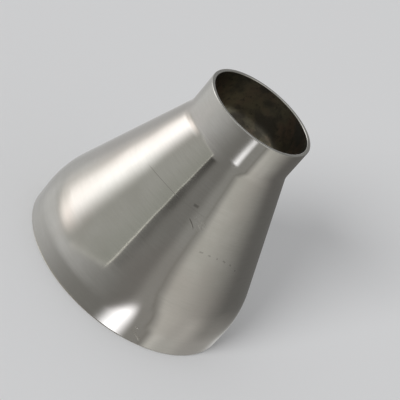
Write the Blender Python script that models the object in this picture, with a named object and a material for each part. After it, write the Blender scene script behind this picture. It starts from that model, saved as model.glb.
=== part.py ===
"""Concentric reducer, 4 in to 2 in, for butt welding into hygienic stainless tube.

One formed shell of stainless steel: a large tube end, a convex shoulder, a cone, a concave neck and a
small tube end. Metres, +Z up. The origin is the centre of the large end face, and the axis runs up +Z
to the small end face.
"""
import math

import bmesh
import bpy

# Driving dimensions
LARGE_DIAMETER = 0.1016     # outside, the large end
SMALL_DIAMETER = 0.0508     # outside, the small end
LENGTH = 0.098              # end face to end face
LARGE_WALL = 0.00211        # wall of a 4 in hygienic tube
SMALL_WALL = 0.00165        # wall of a 2 in hygienic tube
LARGE_STRAIGHT = 0.008      # cylindrical length at the large end
SMALL_STRAIGHT = 0.014      # cylindrical length at the small end
SHOULDER_RADIUS = 0.048     # convex outside radius between the large end and the cone
NECK_RADIUS = 0.012         # concave outside radius between the cone and the small end
EDGE_BREAK = 0.0002         # deburred edges of both end faces

# Fineness of the round faces
SIDES = 96
SHOULDER_STEPS = 7
NECK_STEPS = 5
SHARP_EDGE = math.radians(30)

# Polished stainless steel
STEEL_COLOUR = (0.60, 0.59, 0.56, 1.0)
STEEL_ROUGHNESS = 0.24
STEEL_METALLIC = 1.0


def cone_angle(shoulder_centre, neck_centre):
    """Angle between the axis and the straight line that touches the shoulder arc and the neck arc."""
    across = neck_centre[0] - shoulder_centre[0]
    along = neck_centre[1] - shoulder_centre[1]
    reach = math.hypot(across, along)
    return math.atan2(along, across) - math.acos((SHOULDER_RADIUS + NECK_RADIUS) / reach)


def arc(centre, radius, start, stop, steps):
    """Points on an arc in the (r, z) half plane, each with its direction (cos, sin) from the centre.

    A negative radius puts the points on the far side, so the direction then points to the centre.
    """
    points = []
    for step in range(steps + 1):
        angle = start + (stop - start) * step / steps
        direction = (math.cos(angle), math.sin(angle))
        point = (centre[0] + radius * direction[0], centre[1] + radius * direction[1])
        points.append((point, direction))
    return points


def outside_curve():
    """Shoulder and neck of the outside, from the bottom up, as (point, outward normal) pairs."""
    shoulder_centre = (LARGE_DIAMETER / 2 - SHOULDER_RADIUS, LARGE_STRAIGHT)
    neck_centre = (SMALL_DIAMETER / 2 + NECK_RADIUS, LENGTH - SMALL_STRAIGHT)
    angle = cone_angle(shoulder_centre, neck_centre)
    shoulder = arc(shoulder_centre, SHOULDER_RADIUS, 0.0, angle, SHOULDER_STEPS)
    neck = arc(neck_centre, -NECK_RADIUS, angle, 0.0, NECK_STEPS)
    return shoulder + neck


def wall_at(height):
    """Wall thickness, which thins evenly between the two straight ends."""
    share = (height - LARGE_STRAIGHT) / (LENGTH - SMALL_STRAIGHT - LARGE_STRAIGHT)
    return LARGE_WALL + (SMALL_WALL - LARGE_WALL) * share


def wall_outline():
    """The wall's closed outline in the (r, z) half plane: up the outside and down the inside."""
    outside = []
    inside = []
    for (radius, height), (across, along) in outside_curve():
        wall = wall_at(height)
        outside.append((radius, height))
        inside.append((radius - wall * across, height - wall * along))
    large = LARGE_DIAMETER / 2
    large_bore = large - LARGE_WALL
    small = SMALL_DIAMETER / 2
    small_bore = small - SMALL_WALL
    small_end = [
        (small, LENGTH - EDGE_BREAK),
        (small - EDGE_BREAK, LENGTH),
        (small_bore + EDGE_BREAK, LENGTH),
        (small_bore, LENGTH - EDGE_BREAK),
    ]
    large_end = [
        (large_bore, EDGE_BREAK),
        (large_bore + EDGE_BREAK, 0.0),
        (large - EDGE_BREAK, 0.0),
        (large, EDGE_BREAK),
    ]
    return outside + small_end + inside[::-1] + large_end


def turned_mesh(name, outline):
    """A closed, ring-shaped solid: the outline turned once around the Z axis."""
    solid = bmesh.new()
    rings = []
    for radius, height in outline:
        ring = []
        for side in range(SIDES):
            turn = 2 * math.pi * side / SIDES
            ring.append(solid.verts.new((radius * math.cos(turn), radius * math.sin(turn), height)))
        rings.append(ring)
    for lower, upper in zip(rings, rings[1:] + rings[:1]):
        for side in range(SIDES):
            beside = (side + 1) % SIDES
            solid.faces.new((lower[side], lower[beside], upper[beside], upper[side]))
    mesh = bpy.data.meshes.new(name)
    solid.to_mesh(mesh)
    solid.free()
    mesh.shade_smooth()
    mesh.set_sharp_from_angle(angle=SHARP_EDGE)
    return mesh


def steel_material():
    material = bpy.data.materials.new("polished_stainless")
    material.use_nodes = True
    shader = material.node_tree.nodes["Principled BSDF"]
    shader.inputs["Base Color"].default_value = STEEL_COLOUR
    shader.inputs["Roughness"].default_value = STEEL_ROUGHNESS
    shader.inputs["Metallic"].default_value = STEEL_METALLIC
    return material


def build_reducer_shell():
    mesh = turned_mesh("reducer_shell", wall_outline())
    mesh.materials.append(steel_material())
    shell = bpy.data.objects.new("reducer_shell", mesh)
    bpy.context.scene.collection.objects.link(shell)
    return shell


def main():
    for old in list(bpy.data.objects):
        bpy.data.objects.remove(old, do_unlink=True)
    build_reducer_shell()


main()
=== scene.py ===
"""Looks of the concentric reducer: a finely turned, polished stainless shell in a plain studio.

Everything is in metres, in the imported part's frame: the origin is the centre of the large end
face, and the axis runs up +Z to the small end. Azimuths are turns about +Z in degrees, 0 towards
-Y, where the camera stands, and positive towards +X. Elevations are degrees above the level.
"""
import math

import bpy
from mathutils import Matrix, Vector


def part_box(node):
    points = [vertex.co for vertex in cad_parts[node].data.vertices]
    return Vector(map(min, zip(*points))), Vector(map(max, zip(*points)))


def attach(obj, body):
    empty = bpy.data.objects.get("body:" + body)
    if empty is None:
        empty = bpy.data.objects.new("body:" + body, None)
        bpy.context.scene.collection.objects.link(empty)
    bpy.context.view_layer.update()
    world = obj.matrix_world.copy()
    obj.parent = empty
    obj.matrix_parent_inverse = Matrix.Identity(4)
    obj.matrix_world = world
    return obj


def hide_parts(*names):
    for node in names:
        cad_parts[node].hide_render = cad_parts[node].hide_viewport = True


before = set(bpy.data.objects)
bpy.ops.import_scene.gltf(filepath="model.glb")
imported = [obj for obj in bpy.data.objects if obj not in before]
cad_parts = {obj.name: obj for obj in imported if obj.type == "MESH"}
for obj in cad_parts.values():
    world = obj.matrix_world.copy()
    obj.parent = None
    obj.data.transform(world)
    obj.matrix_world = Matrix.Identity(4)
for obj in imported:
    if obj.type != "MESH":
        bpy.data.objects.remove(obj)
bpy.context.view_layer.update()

# The part. The large end and the length come from the frame, and the rest is as in part.py.
shell_low, shell_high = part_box("reducer_shell")
LARGE_RADIUS = (shell_high[0] - shell_low[0]) / 2
LENGTH = shell_high[2] - shell_low[2]
SMALL_RADIUS = 0.0254
LARGE_WALL = 0.00211
SMALL_WALL = 0.00165
LARGE_STRAIGHT = 0.008
SMALL_STRAIGHT = 0.014
SHOULDER_RADIUS = 0.048
NECK_RADIUS = 0.012

# The edges are rounded more than part.py breaks them, so that they catch the light.
EDGE_ROUND = 0.0004
FOOT_EDGE_ROUND = 0.0009

# Fineness of the turned mesh
SIDES = 384
SHOULDER_STEPS = 24
CONE_STEPS = 24
NECK_STEPS = 14
STRAIGHT_STEPS = 4
EDGE_STEPS = 5

# The shell's material slots. Where two sections meet, the face between them takes the lower number.
OUTSIDE, INSIDE, END_FACE = 0, 1, 2

# The camera
CAMERA_ELEVATION = 27.9
CAMERA_ROLL = 41.07
CAMERA_DISTANCE = 0.662
CAMERA_LENS = 138.6
ORBIT_CENTRE = Vector((0.0, 0.0, 0.45 * LENGTH))
CAMERA_AIM = Vector((0.0045, 0.0, 0.49 * LENGTH))

# The floor and the lights
FLOOR_SIZE = 12.0
FLOOR_COLOUR = (0.80, 0.805, 0.815, 1.0)
BACKDROP_COLOUR = (0.60, 0.605, 0.612, 1.0)
FILL_COLOUR = (0.47, 0.47, 0.47, 1.0)
KEY_AZIMUTH = -23.0
KEY_ELEVATION = 23.0
KEY_SPREAD = 21.0
KEY_STRENGTH = 2.35

# The two cards that only the metal mirrors: how far they reach out and down, and their places
CARD_REACH = 0.5
LAMP_AZIMUTH = 25.5
LAMP_DISTANCE = 0.40
SHEET_AZIMUTH = 125.0
SHEET_DISTANCE = 0.15

# The metal
STEEL = (0.68, 0.67, 0.645, 1.0)
STEEL_FILM = (0.61, 0.60, 0.57, 1.0)
STEEL_WARM = (0.67, 0.63, 0.605, 1.0)
STEEL_MARK = (0.30, 0.29, 0.27, 1.0)
DULL_OLIVE = (0.33, 0.32, 0.255, 1.0)
DULL_BROWN = (0.365, 0.30, 0.255, 1.0)
DULL_STAIN = (0.175, 0.17, 0.155, 1.0)

# The room that the metal mirrors. BELOW is under the level and LOW is lower still.
PALE_WALL = (0.57, 0.57, 0.56, 1.0)
PALE_WALL_BELOW = (0.635, 0.635, 0.625, 1.0)
PALE_WALL_LOW = (0.525, 0.525, 0.515, 1.0)
DIM_WALL = (0.214, 0.209, 0.197, 1.0)
LEFT_REAR_WALL = (0.49, 0.49, 0.485, 1.0)
RIGHT_REAR_WALL = (0.140, 0.137, 0.13, 1.0)
REAR_WALL = (0.59, 0.59, 0.59, 1.0)
REAR_WALL_LOW = (0.48, 0.48, 0.48, 1.0)
REAR_WALL_HIGH = (0.24, 0.24, 0.235, 1.0)
BEIGE_WALL = (0.54, 0.53, 0.492, 1.0)
BEIGE_WALL_BELOW = (0.60, 0.59, 0.55, 1.0)
BEIGE_WALL_LOW = (0.76, 0.75, 0.71, 1.0)
BEIGE_WALL_STRIP = (0.31, 0.305, 0.288, 1.0)
BEIGE_WALL_GAP = (0.23, 0.22, 0.20, 1.0)
SCREEN_LEFT = (0.42, 0.42, 0.39, 1.0)
SCREEN_RIGHT = (0.365, 0.37, 0.335, 1.0)
SCREEN_RIM = (1.05, 1.03, 0.93, 1.0)
FIGURE = (0.135, 0.13, 0.118, 1.0)
FIGURE_CORE = (0.02, 0.019, 0.017, 1.0)
DAYLIGHT = (1.75, 1.74, 1.72, 1.0)
DAYLIGHT_BELOW = (1.58, 1.48, 1.41, 1.0)
STRAIGHT_BELOW = (0.20, 0.185, 0.16, 1.0)
STRAIGHT_BELOW_PATCH = (0.85, 0.82, 0.70, 1.0)
CEILING = (0.6, 0.6, 0.6, 1.0)

# The two cards
LAMP = (2.3, 2.3, 2.38, 1.0)
SHEET = (0.27, 0.265, 0.25, 1.0)
SHEET_BELOW = (0.39, 0.385, 0.365, 1.0)
SHEET_NEAR_END = (0.50, 0.49, 0.46, 1.0)
SHEET_FAR_FOOT = (0.60, 0.60, 0.59, 1.0)


# ---------------------------------------------------------------- the turned shell


def arc(centre, radius, start, stop, steps):
    """Points on an arc in the (r, z) half plane as (r, z, normal r, normal z).

    With a negative radius the points lie on the far side and the normal points to the centre.
    """
    points = []
    for step in range(steps + 1):
        angle = start + (stop - start) * step / steps
        across, along = math.cos(angle), math.sin(angle)
        points.append((centre[0] + radius * across, centre[1] + radius * along, across, along))
    return points


def between(start, stop, normal, steps):
    """Points strictly between two points of the (r, z) half plane, with the line's normal."""
    points = []
    for step in range(1, steps):
        share = step / steps
        radius = start[0] + (stop[0] - start[0]) * share
        height = start[1] + (stop[1] - start[1]) * share
        points.append((radius, height, normal[0], normal[1]))
    return points


def outside_curve():
    """The outside from the top of the large straight end to the bottom of the small one."""
    shoulder_centre = (LARGE_RADIUS - SHOULDER_RADIUS, LARGE_STRAIGHT)
    neck_centre = (SMALL_RADIUS + NECK_RADIUS, LENGTH - SMALL_STRAIGHT)
    across = neck_centre[0] - shoulder_centre[0]
    along = neck_centre[1] - shoulder_centre[1]
    reach = math.hypot(across, along)
    angle = math.atan2(along, across) - math.acos((SHOULDER_RADIUS + NECK_RADIUS) / reach)
    shoulder = arc(shoulder_centre, SHOULDER_RADIUS, 0.0, angle, SHOULDER_STEPS)
    neck = arc(neck_centre, -NECK_RADIUS, angle, 0.0, NECK_STEPS)
    cone = between(shoulder[-1], neck[0], (math.cos(angle), math.sin(angle)), CONE_STEPS)
    return shoulder + cone + neck


def inside_curve():
    """The inside, down from the small straight end: one wall in from the outside curve."""
    points = []
    for radius, height, across, along in reversed(outside_curve()):
        share = (height - LARGE_STRAIGHT) / (LENGTH - SMALL_STRAIGHT - LARGE_STRAIGHT)
        wall = LARGE_WALL + (SMALL_WALL - LARGE_WALL) * share
        points.append((radius - wall * across, height - wall * along, -across, -along))
    return points


def end_edge(corner, inward, up, from_side, rounding=EDGE_ROUND):
    """The rounded edge of an end face, from the side to the face or back.

    inward is the way to the metal along r, and up is the way out of the face along z.
    """
    centre = (corner[0] + inward * rounding, corner[1] - up * rounding)
    side = math.pi if inward > 0 else 0.0
    face = up * math.pi / 2
    turn = (face - side + math.pi) % (2 * math.pi) - math.pi
    ends = (side, side + turn) if from_side else (side + turn, side)
    return arc(centre, rounding, ends[0], ends[1], EDGE_STEPS)


def shell_sections():
    """The wall's closed outline, up the outside and down the inside, as (slot, points) pairs."""
    outside = outside_curve()
    inside = inside_curve()
    large_outer = end_edge((LARGE_RADIUS, 0.0), -1, -1, from_side=False, rounding=FOOT_EDGE_ROUND)
    small_outer = end_edge((SMALL_RADIUS, LENGTH), -1, 1, from_side=True)
    small_inner = end_edge((SMALL_RADIUS - SMALL_WALL, LENGTH), 1, 1, from_side=False)
    large_inner = end_edge((LARGE_RADIUS - LARGE_WALL, 0.0), 1, -1, from_side=True)
    return [
        (END_FACE, large_outer),
        (OUTSIDE, between(large_outer[-1], outside[0], (1.0, 0.0), STRAIGHT_STEPS)),
        (OUTSIDE, outside),
        (OUTSIDE, between(outside[-1], small_outer[0], (1.0, 0.0), STRAIGHT_STEPS)),
        (END_FACE, small_outer),
        (END_FACE, small_inner),
        (INSIDE, between(small_inner[-1], inside[0], (-1.0, 0.0), STRAIGHT_STEPS)),
        (INSIDE, inside),
        (INSIDE, between(inside[-1], large_inner[0], (-1.0, 0.0), STRAIGHT_STEPS)),
        (END_FACE, large_inner),
    ]


def turned_mesh(name, sections):
    """A closed ring-shaped mesh: the sections turned round the axis, with their own normals."""
    outline = []
    for slot, points in sections:
        for point in points:
            outline.append((slot, point))
    vertices = []
    normals = []
    for _, (radius, height, across, along) in outline:
        for side in range(SIDES):
            turn = 2 * math.pi * side / SIDES
            x, y = math.cos(turn), math.sin(turn)
            vertices.append((radius * x, radius * y, height))
            normals.append((across * x, across * y, along))
    faces = []
    face_slots = []
    for ring in range(len(outline)):
        above = (ring + 1) % len(outline)
        slot = min(outline[ring][0], outline[above][0])
        low, high = ring * SIDES, above * SIDES
        for side in range(SIDES):
            beside = (side + 1) % SIDES
            faces.append((low + side, low + beside, high + beside, high + side))
            face_slots.append(slot)
    mesh = bpy.data.meshes.new(name)
    mesh.from_pydata(vertices, [], faces)
    mesh.polygons.foreach_set("material_index", face_slots)
    mesh.shade_smooth()
    mesh.normals_split_custom_set_from_vertices(normals)
    return mesh


# ---------------------------------------------------------------- node helpers


class Graph:
    """A short way to write a node tree."""

    def __init__(self, tree):
        self.tree = tree
        tree.nodes.clear()

    def node(self, kind, inputs=None, **settings):
        """A new node. inputs maps a socket's name or number to a value or to another socket."""
        made = self.tree.nodes.new(kind)
        for name, value in settings.items():
            setattr(made, name, value)
        for name, value in (inputs or {}).items():
            self.feed(made.inputs[name], value)
        return made

    def feed(self, socket, value):
        if isinstance(value, bpy.types.NodeSocket):
            self.tree.links.new(value, socket)
        else:
            socket.default_value = value

    def math(self, operation, *values):
        return self.node("ShaderNodeMath", dict(enumerate(values)), operation=operation).outputs[0]

    def product(self, *values):
        """The values multiplied together."""
        total = values[0]
        for value in values[1:]:
            total = self.math("MULTIPLY", total, value)
        return total

    def highest(self, *values):
        """The highest of the values."""
        total = values[0]
        for value in values[1:]:
            total = self.math("MAXIMUM", total, value)
        return total

    def smooth(self, value, start, stop):
        """0 where value is at start and beyond, 1 at stop and beyond, and smooth between them."""
        made = self.node(
            "ShaderNodeMapRange",
            {"Value": value, "From Min": start, "From Max": stop},
            interpolation_type="SMOOTHSTEP",
        )
        return made.outputs["Result"]

    def edge(self, value, place, soft):
        """0 below place and 1 above it, blended over soft to each side. place may be a socket."""
        beyond = self.math("SUBTRACT", value, place)
        return self.smooth(beyond, -soft, soft)

    def band(self, value, middle, half_width, soft):
        """1 within half_width of the middle, falling to 0 over the soft distance."""
        away = self.math("ABSOLUTE", self.math("SUBTRACT", value, middle))
        return self.smooth(away, half_width + soft, half_width)

    def azimuth(self, x, y):
        """The azimuth in degrees of a direction or place: 0 towards -Y, positive towards +X."""
        return self.math("DEGREES", self.math("ARCTAN2", x, self.math("MULTIPLY", y, -1.0)))

    def slope(self, value, factor, offset):
        """The value times factor, plus offset."""
        return self.math("MULTIPLY_ADD", value, factor, offset)

    def mix(self, share, first, second):
        """A colour: first where share is 0 and second where it is 1."""
        made = self.node("ShaderNodeMix", data_type="RGBA")
        self.feed(made.inputs[0], share)
        self.feed(made.inputs[6], first)
        self.feed(made.inputs[7], second)
        return made.outputs[2]

    def noise(self, vector, scale, detail=2.0, roughness=0.5):
        made = self.node(
            "ShaderNodeTexNoise",
            {"Vector": vector, "Scale": scale, "Detail": detail, "Roughness": roughness},
        )
        return made.outputs["Fac"]

    def bump(self, height, distance, normal=None):
        inputs = {"Strength": 1.0, "Distance": distance, "Height": height}
        if normal is not None:
            inputs["Normal"] = normal
        return self.node("ShaderNodeBump", inputs).outputs[0]


class TurnedPlace:
    """Where a point of the part lies: height and radius in metres, and azimuth in degrees."""

    def __init__(self, graph):
        self.graph = graph
        self.position = graph.node("ShaderNodeTexCoord").outputs["Object"]
        split = graph.node("ShaderNodeSeparateXYZ", {0: self.position})
        self.x, self.y, self.height = split.outputs[0], split.outputs[1], split.outputs[2]
        x_squared = graph.math("POWER", self.x, 2.0)
        y_squared = graph.math("POWER", self.y, 2.0)
        self.radius = graph.math("SQRT", graph.math("ADD", x_squared, y_squared))
        self.azimuth = graph.azimuth(self.x, self.y)

    def streaks(self, around, along):
        """Coordinates for a pattern drawn out round the axis, in cells per turn and per metre."""
        graph = self.graph
        spread = around / (2 * math.pi)
        parts = [
            graph.product(graph.math("DIVIDE", self.x, self.radius), spread),
            graph.product(graph.math("DIVIDE", self.y, self.radius), spread),
            graph.product(self.height, along),
        ]
        return graph.node("ShaderNodeCombineXYZ", dict(enumerate(parts))).outputs[0]

    def mark(self, azimuth, height, length, width, tilt=0.0, bend=0.0, wobble=0.0002):
        """The mask of one short mark on the surface, such as a scratch: tilted, bent, ragged."""
        graph = self.graph
        turned = graph.math("SUBTRACT", self.azimuth, azimuth)
        turned = graph.product(turned, math.radians(1.0), self.radius)
        raised = graph.math("SUBTRACT", self.height, height)
        cosine, sine = math.cos(math.radians(tilt)), math.sin(math.radians(tilt))
        along = graph.math("ADD", graph.product(turned, cosine), graph.product(raised, sine))
        across = graph.math("SUBTRACT", graph.product(raised, cosine), graph.product(turned, sine))
        sag = graph.product(graph.math("POWER", along, 2.0), bend / length)
        ragged = graph.slope(graph.noise(self.position, 900.0), 2 * wobble, -wobble)
        across = graph.math("ADD", graph.math("ADD", across, sag), ragged)
        lengthwise = graph.band(along, 0.0, 0.25 * length, 0.3 * length)
        return graph.product(lengthwise, graph.band(across, 0.0, 0.2 * width, 0.5 * width))


def new_material(name):
    material = bpy.data.materials.new(name)
    material.use_nodes = True
    return material, Graph(material.node_tree)


def add_shader(graph, inputs):
    """Finish a material with the one shader that it needs."""
    shader = graph.node("ShaderNodeBsdfPrincipled", inputs)
    graph.node("ShaderNodeOutputMaterial", {"Surface": shader.outputs[0]})


# ---------------------------------------------------------------- materials


def dark_marks(graph, place):
    """The handling marks: a thin line round part of the cone, a nick, a curl and a row of pits."""
    line = place.mark(-22.0, 0.0600, 0.0210, 0.0003, tilt=3.0, bend=0.10, wobble=0.00012)
    line_end = place.mark(10.0, 0.0603, 0.0160, 0.0002, wobble=0.00008)
    nick = place.mark(8.0, 0.0620, 0.0026, 0.0012, tilt=10.0)
    curl = place.mark(12.8, 0.0556, 0.0054, 0.0005, tilt=-32.0, bend=0.3)
    masks = [
        graph.product(line, 0.5),
        graph.product(line_end, 0.2),
        graph.product(nick, 0.65),
        graph.product(curl, 0.75),
    ]
    for pit in range(6):
        azimuth = 29.0 + 6.2 * pit
        height = 0.0478 - 0.000006 * pit**4
        length = 0.0022 - 0.0006 * (pit % 3)
        spot = place.mark(azimuth, height, length, 0.0007, tilt=8.0 - 9.0 * pit)
        masks.append(graph.product(spot, 0.45))
    return graph.highest(*masks)


def pale_scratches(graph, place):
    """Two short bright scratches near the large end, a smudge, and fine scratches in patches."""
    hook = place.mark(24.5, 0.0048, 0.0075, 0.0008, tilt=-28.0, bend=0.25)
    tick = place.mark(22.0, 0.0082, 0.0022, 0.0005, tilt=-20.0)
    smudge = place.mark(16.5, 0.0575, 0.0075, 0.0040, tilt=-50.0, wobble=0.0012)
    speckle = graph.smooth(graph.noise(place.position, 1300.0, 2.0), 0.4, 0.7)
    smudge = graph.product(smudge, speckle, 0.55)
    hairs = graph.smooth(graph.noise(place.streaks(16.0, 1500.0), 1.0, 2.0, 0.7), 0.70, 0.78)
    patches = graph.smooth(graph.noise(place.position, 70.0, 1.0), 0.55, 0.7)
    hairs = graph.product(hairs, patches, 0.5)
    return graph.highest(hook, tick, smudge, hairs)


def outside_steel():
    """Polished stainless steel: fine lines round the axis, a patchy film and the marks."""
    material, graph = new_material("outside_polished_steel")
    place = TurnedPlace(graph)
    film = graph.noise(place.position, 55.0, 3.0, 0.55)
    warmth = graph.noise(place.position, 26.0, 2.0, 0.5)
    lines = graph.noise(place.streaks(24.0, 1900.0), 1.0, 2.0, 0.6)
    waves = graph.noise(place.position, 42.0, 1.0, 0.4)
    dark = dark_marks(graph, place)
    pale = pale_scratches(graph, place)

    colour = graph.mix(graph.smooth(film, 0.35, 0.75), STEEL, STEEL_FILM)
    colour = graph.mix(graph.product(graph.smooth(warmth, 0.45, 0.62), 0.5), colour, STEEL_WARM)
    colour = graph.mix(graph.product(graph.smooth(lines, 0.35, 0.8), 0.5), colour, STEEL_FILM)
    colour = graph.mix(dark, colour, STEEL_MARK)
    roughness = graph.slope(film, 0.05, 0.095)
    roughness = graph.math("ADD", roughness, graph.product(lines, 0.02))
    roughness = graph.math("ADD", roughness, graph.product(pale, 0.25))
    normal = graph.bump(waves, 0.0003)
    normal = graph.bump(lines, 0.000003, normal)
    normal = graph.bump(graph.highest(dark, pale), -0.00004, normal)
    tangent = graph.node("ShaderNodeTangent", direction_type="RADIAL", axis="Z").outputs[0]
    add_shader(
        graph,
        {
            "Base Color": colour,
            "Metallic": 1.0,
            "Roughness": roughness,
            "Anisotropic": 0.85,
            "Anisotropic Rotation": 0.25,
            "Tangent": tangent,
            "Normal": normal,
        },
    )
    return material


def inside_steel():
    """The unpolished inside: dull and dark, with brown and olive patches left by forming."""
    material, graph = new_material("inside_dull_steel")
    place = TurnedPlace(graph)
    broad = graph.noise(place.position, 110.0, 4.0, 0.6)
    small = graph.noise(place.position, 420.0, 3.0, 0.6)
    hue = graph.noise(place.position, 75.0, 2.0, 0.5)
    tint = graph.mix(graph.smooth(hue, 0.4, 0.6), DULL_OLIVE, DULL_BROWN)
    stain = graph.highest(graph.smooth(broad, 0.42, 0.62), graph.smooth(small, 0.5, 0.7))
    colour = graph.mix(stain, tint, DULL_STAIN)
    add_shader(
        graph,
        {
            "Base Color": colour,
            "Metallic": 1.0,
            "Roughness": graph.slope(broad, 0.2, 0.25),
            "Normal": graph.bump(small, 0.00002),
        },
    )
    return material


def end_face_steel():
    """The square-cut end faces and their rounded edges: bright metal with fine lathe rings."""
    material, graph = new_material("end_face_cut_steel")
    place = TurnedPlace(graph)
    outwards = graph.node("ShaderNodeCombineXYZ", {0: place.radius}).outputs[0]
    rings = graph.noise(outwards, 9000.0, 1.0)
    grain = graph.noise(place.position, 900.0, 2.0, 0.5)
    add_shader(
        graph,
        {
            "Base Color": graph.mix(graph.smooth(grain, 0.4, 0.7), STEEL, STEEL_FILM),
            "Metallic": 1.0,
            "Roughness": graph.slope(grain, 0.12, 0.18),
            "Normal": graph.bump(rings, 0.000005),
        },
    )
    return material


def build_shell():
    mesh = turned_mesh("polished_shell", shell_sections())
    for material in (outside_steel(), inside_steel(), end_face_steel()):
        mesh.materials.append(material)
    shell = bpy.data.objects.new("polished_shell", mesh)
    bpy.context.scene.collection.objects.link(shell)
    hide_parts("reducer_shell")
    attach(shell, "root")


# ---------------------------------------------------------------- studio


def around(azimuth, elevation, distance):
    """A point at that azimuth, elevation and distance from the middle of the part."""
    turn, lift = math.radians(azimuth), math.radians(elevation)
    flat = math.cos(lift)
    direction = Vector((math.sin(turn) * flat, -math.cos(turn) * flat, math.sin(lift)))
    return ORBIT_CENTRE + direction * distance


def look_rotation(location, aim, roll):
    """A rotation that looks from location to aim, with +Z up, then rolled about that line."""
    level = (aim - location).to_track_quat("-Z", "Y").to_matrix()
    return (level @ Matrix.Rotation(math.radians(roll), 3, "Z")).to_euler()


def flat_piece(name, corners, material):
    """One face of the studio, such as the floor."""
    mesh = bpy.data.meshes.new(name)
    mesh.from_pydata([tuple(corner) for corner in corners], [], [tuple(range(len(corners)))])
    mesh.materials.append(material)
    piece = bpy.data.objects.new(name, mesh)
    bpy.context.scene.collection.objects.link(piece)
    return piece


def build_floor():
    material, graph = new_material("studio_floor")
    add_shader(graph, {"Base Color": FLOOR_COLOUR, "Roughness": 0.9, "Specular IOR Level": 0.1})
    reach = FLOOR_SIZE / 2
    signs = [(-1, -1), (1, -1), (1, 1), (-1, 1)]
    floor = flat_piece("studio_floor", [(reach * x, reach * y, 0.0) for x, y in signs], material)
    # The metal mirrors the studio's walls below the level too, as it would on a small stand.
    floor.visible_glossy = False


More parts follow.
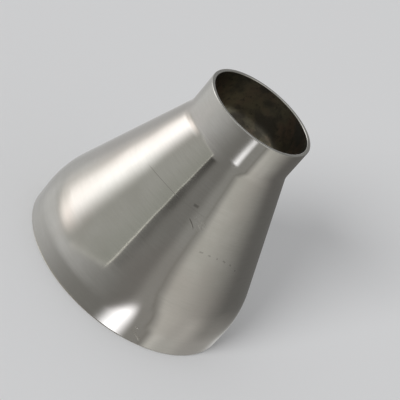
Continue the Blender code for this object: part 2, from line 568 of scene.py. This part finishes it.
class MirroredRoom:
    """What the metal mirrors in each direction, by azimuth and elevation.

    Each method paints one thing over what is there already, and colour is the result.
    """

    def __init__(self, graph, azimuth, elevation):
        self.graph = graph
        self.azimuth = azimuth
        self.elevation = elevation
        self.colour = PALE_WALL
        # 1 as far down as the large end's straight side looks, and 0 from a little above that
        self.low_down = graph.smooth(elevation, -26.0, -32.0)
        # Degrees above the lower edge of the screen and the window, which rises to the right
        lower_edge = graph.slope(graph.smooth(azimuth, -72.0, 2.0), 24.0, -17.0)
        self.above_edge = graph.math("SUBTRACT", elevation, lower_edge)

    def paint(self, mask, colour):
        self.colour = self.graph.mix(mask, self.colour, colour)

    def walls(self):
        """Pale walls at the left and behind, dim from the camera round to the right rear."""
        graph, azimuth = self.graph, self.azimuth
        self.paint(graph.smooth(self.elevation, -14.0, -22.0), PALE_WALL_BELOW)
        self.paint(self.low_down, PALE_WALL_LOW)
        towards_camera = graph.math("ADD", azimuth, graph.slope(self.low_down, 38.0, -8.0))
        self.paint(graph.smooth(towards_camera, -90.0, 5.0), DIM_WALL)
        self.paint(graph.smooth(azimuth, -118.0, -148.0), LEFT_REAR_WALL)
        self.paint(graph.smooth(azimuth, 85.0, 130.0), RIGHT_REAR_WALL)
        behind = graph.highest(
            graph.smooth(azimuth, 170.0, 180.0), graph.smooth(azimuth, -155.0, -178.0)
        )
        self.paint(behind, graph.mix(self.low_down, REAR_WALL, REAR_WALL_LOW))

    def beige_wall(self):
        """A wall at the right with a leaning left edge, a thin gap there and a strip before it."""
        graph, azimuth, elevation = self.graph, self.azimuth, self.elevation
        left_edge = graph.slope(elevation, -0.32, 46.0)
        left_edge = graph.math("ADD", left_edge, graph.product(self.low_down, 6.0))
        bulge = graph.product(graph.band(elevation, -16.0, 6.0, 6.0), 3.0)
        left_edge = graph.math("ADD", left_edge, bulge)
        strip = graph.band(azimuth, 33.0, 4.0, 14.0)
        strip_below = graph.product(
            graph.band(azimuth, 46.0, 10.0, 5.0), graph.smooth(elevation, 0.0, -12.0)
        )
        self.paint(graph.highest(strip, strip_below), BEIGE_WALL_STRIP)
        from_edge = graph.math("SUBTRACT", azimuth, left_edge)
        self.paint(graph.product(graph.band(from_edge, -4.5, 0.4, 1.4), 0.8), BEIGE_WALL_GAP)
        wall = graph.product(graph.smooth(from_edge, -4.5, 7.0), graph.smooth(azimuth, 122.0, 50.0))
        colour = graph.mix(graph.smooth(elevation, 3.0, -9.0), BEIGE_WALL, BEIGE_WALL_BELOW)
        self.paint(wall, graph.mix(self.low_down, colour, BEIGE_WALL_LOW))

    def screen(self):
        """A grey screen at the left, with a light rim down its right side and along its foot."""
        graph, azimuth = self.graph, self.azimuth
        screen = graph.product(
            graph.smooth(azimuth, -16.0, -17.0),
            graph.smooth(self.above_edge, -3.0, 3.0),
            graph.smooth(azimuth, -130.0, -100.0),
        )
        colour = graph.mix(graph.smooth(azimuth, -50.0, -18.0), SCREEN_LEFT, SCREEN_RIGHT)
        self.paint(screen, colour)
        side_rim = graph.product(
            graph.band(azimuth, -17.0, 0.25, 0.5),
            graph.smooth(self.above_edge, -2.0, 1.0),
            graph.smooth(self.elevation, 18.0, 13.0),
        )
        low_rim = graph.product(
            graph.band(self.above_edge, -1.0, 0.5, 3.0), graph.band(azimuth, -36.0, 16.0, 8.0), 0.25
        )
        self.paint(graph.highest(side_rim, low_rim), SCREEN_RIM)

    def figure(self):
        """A dark figure behind the camera, darkest high up beside the screen."""
        graph, azimuth, elevation = self.graph, self.azimuth, self.elevation
        figure = graph.product(
            graph.smooth(azimuth, -16.7, -15.9),
            graph.smooth(azimuth, 6.0, -12.0),
            graph.smooth(elevation, 11.5, 14.0),
        )
        self.paint(figure, FIGURE)
        core = graph.product(
            graph.smooth(azimuth, -16.4, -15.4),
            graph.smooth(azimuth, -1.0, -11.0),
            graph.smooth(elevation, 14.5, 17.0),
        )
        self.paint(core, FIGURE_CORE)

    def window(self):
        """A window at the left whose soft left edge bulges outwards at the level, and its glow."""
        graph, azimuth, elevation = self.graph, self.azimuth, self.elevation
        left = graph.math("MINIMUM", graph.slope(elevation, 8.0, -136.0), -121.0)
        left = graph.math("MAXIMUM", graph.slope(elevation, -6.5, -134.0), left)
        left = graph.math("MINIMUM", left, -102.0)
        right = graph.math("MINIMUM", graph.slope(elevation, -0.8, -72.0), -74.0)
        above = graph.smooth(self.above_edge, 0.0, 6.0)
        beyond_right = graph.edge(azimuth, right, 19.0)
        window = graph.product(
            graph.edge(azimuth, left, 26.0), graph.math("SUBTRACT", 1.0, beyond_right), above
        )
        glow = graph.product(graph.band(azimuth, -118.0, 4.0, 14.0), above, 0.08)
        daylight = graph.mix(graph.smooth(elevation, 2.0, -5.0), DAYLIGHT, DAYLIGHT_BELOW)
        self.paint(graph.math("ADD", window, glow), daylight)

    def below_and_above(self):
        """Dim light straight below with a pale patch at the left, a high rear wall, the ceiling."""
        graph, azimuth, elevation = self.graph, self.azimuth, self.elevation
        patch = graph.product(
            graph.smooth(azimuth, 0.0, -30.0), graph.smooth(elevation, -61.0, -56.0)
        )
        below = graph.mix(patch, STRAIGHT_BELOW, STRAIGHT_BELOW_PATCH)
        self.paint(graph.smooth(elevation, -42.0, -50.0), below)
        from_front = graph.math("ABSOLUTE", azimuth)
        rear = graph.smooth(from_front, 125.0, 155.0)
        self.paint(graph.product(rear, graph.band(elevation, 30.0, 12.0, 12.0)), REAR_WALL_HIGH)
        self.paint(graph.smooth(elevation, 45.0, 70.0), CEILING)


def build_world():
    """An even fill light, a pale backdrop for the camera, and the room for the metal to mirror."""
    world = bpy.data.worlds.new("studio")
    bpy.context.scene.world = world
    world.use_nodes = True
    graph = Graph(world.node_tree)
    direction = graph.node("ShaderNodeTexCoord").outputs["Generated"]
    split = graph.node("ShaderNodeSeparateXYZ", {0: direction})
    azimuth = graph.azimuth(split.outputs[0], split.outputs[1])
    elevation = graph.math("DEGREES", graph.math("ARCSINE", split.outputs[2]))
    room = MirroredRoom(graph, azimuth, elevation)
    room.walls()
    room.beige_wall()
    room.screen()
    room.figure()
    room.window()
    room.below_and_above()
    path = graph.node("ShaderNodeLightPath")
    seen = graph.mix(path.outputs["Is Camera Ray"], FILL_COLOUR, BACKDROP_COLOUR)
    seen = graph.mix(path.outputs["Is Glossy Ray"], seen, room.colour)
    background = graph.node("ShaderNodeBackground", {"Color": seen, "Strength": 1.0})
    graph.node("ShaderNodeOutputWorld", {"Surface": background.outputs[0]})
    # The fill is even, so sampling the world as a light would gain nothing.
    world.cycles.sampling_method = "NONE"


def build_card(name, azimuth, distance, paint):
    """A card near the part, upright and facing it, that only the metal mirrors.

    paint gives its mask and colour from the place on it: metres to the right, seen from the part,
    and the height above the floor. It reaches below the floor, as the mirrored room does.
    """
    turn = math.radians(azimuth)
    middle = Vector((math.sin(turn), -math.cos(turn), 0.0)) * distance
    sideways = Vector((math.cos(turn), math.sin(turn), 0.0)) * CARD_REACH
    drop = Vector((0.0, 0.0, -CARD_REACH))
    left, right = middle - sideways, middle + sideways
    material, graph = new_material(name)
    position = graph.node("ShaderNodeTexCoord").outputs["Object"]
    split = graph.node("ShaderNodeSeparateXYZ", {0: position})
    across_x = graph.product(split.outputs[0], math.cos(turn))
    across_y = graph.product(split.outputs[1], math.sin(turn))
    across = graph.math("ADD", across_x, across_y)
    mask, colour = paint(graph, across, split.outputs[2])
    clear = graph.node("ShaderNodeBsdfTransparent").outputs[0]
    glow = graph.node("ShaderNodeEmission", {"Color": colour, "Strength": 1.0}).outputs[0]
    mixed = graph.node("ShaderNodeMixShader", {0: mask, 1: clear, 2: glow}).outputs[0]
    graph.node("ShaderNodeOutputMaterial", {"Surface": mixed})
    card = flat_piece(name, [left, right, right + drop, left + drop], material)
    card.visible_camera = False
    card.visible_diffuse = False
    card.visible_shadow = False


def paint_lamp(graph, across, height):
    """A bright lamp with a soft, slanting top, whose soft sides spread towards its foot."""
    left = graph.smooth(across, graph.slope(height, 0.6, -0.013), -0.013)
    right = graph.smooth(across, graph.slope(height, -0.311, 0.0316), -0.010)
    below_top = graph.math("SUBTRACT", graph.slope(across, 0.6, -0.037), height)
    top = graph.smooth(below_top, 0.0, 0.095)
    foot = graph.smooth(height, -0.34, -0.29)
    return graph.product(left, right, graph.product(top, foot)), LAMP


def paint_sheet(graph, across, height):
    """A pale sheet behind the part at the right, with a soft top that is lower at its far end.

    It is brighter lower down, at its near end and at the foot of its far end.
    """
    above_top = graph.math("ADD", height, graph.product(graph.smooth(across, -0.07, 0.07), 0.05))
    mask = graph.product(graph.smooth(above_top, 0.02, -0.035), graph.smooth(across, -0.26, -0.15))
    colour = graph.mix(graph.smooth(height, -0.035, -0.08), SHEET, SHEET_BELOW)
    colour = graph.mix(graph.smooth(across, -0.07, -0.15), colour, SHEET_NEAR_END)
    far_foot = graph.product(graph.smooth(across, -0.01, 0.05), graph.smooth(height, -0.05, -0.09))
    return mask, graph.mix(far_foot, colour, SHEET_FAR_FOOT)


def build_key_light():
    """A soft light from the left of the camera, which lights the floor and casts the shadow."""
    light = bpy.data.lights.new("key_light", "SUN")
    light.angle = math.radians(KEY_SPREAD)
    light.energy = KEY_STRENGTH
    lamp = bpy.data.objects.new("key_light", light)
    lamp.location = around(KEY_AZIMUTH, KEY_ELEVATION, 1.0)
    lamp.rotation_euler = look_rotation(lamp.location, ORBIT_CENTRE, 0.0)
    bpy.context.scene.collection.objects.link(lamp)
    lamp.visible_glossy = False
    lamp.visible_camera = False


def build_camera():
    data = bpy.data.cameras.new("camera")
    data.lens = CAMERA_LENS
    data.sensor_width = 36.0
    data.clip_start = 0.01
    data.clip_end = 50.0
    camera = bpy.data.objects.new("camera", data)
    camera.location = around(0.0, CAMERA_ELEVATION, CAMERA_DISTANCE)
    camera.rotation_euler = look_rotation(camera.location, CAMERA_AIM, CAMERA_ROLL)
    bpy.context.scene.collection.objects.link(camera)
    bpy.context.scene.camera = camera


build_camera()
build_shell()
build_floor()
build_world()
build_card("lamp_card", LAMP_AZIMUTH, LAMP_DISTANCE, paint_lamp)
build_card("bounce_card", SHEET_AZIMUTH, SHEET_DISTANCE, paint_sheet)
build_key_light()
bpy.context.scene.view_settings.view_transform = "Standard"
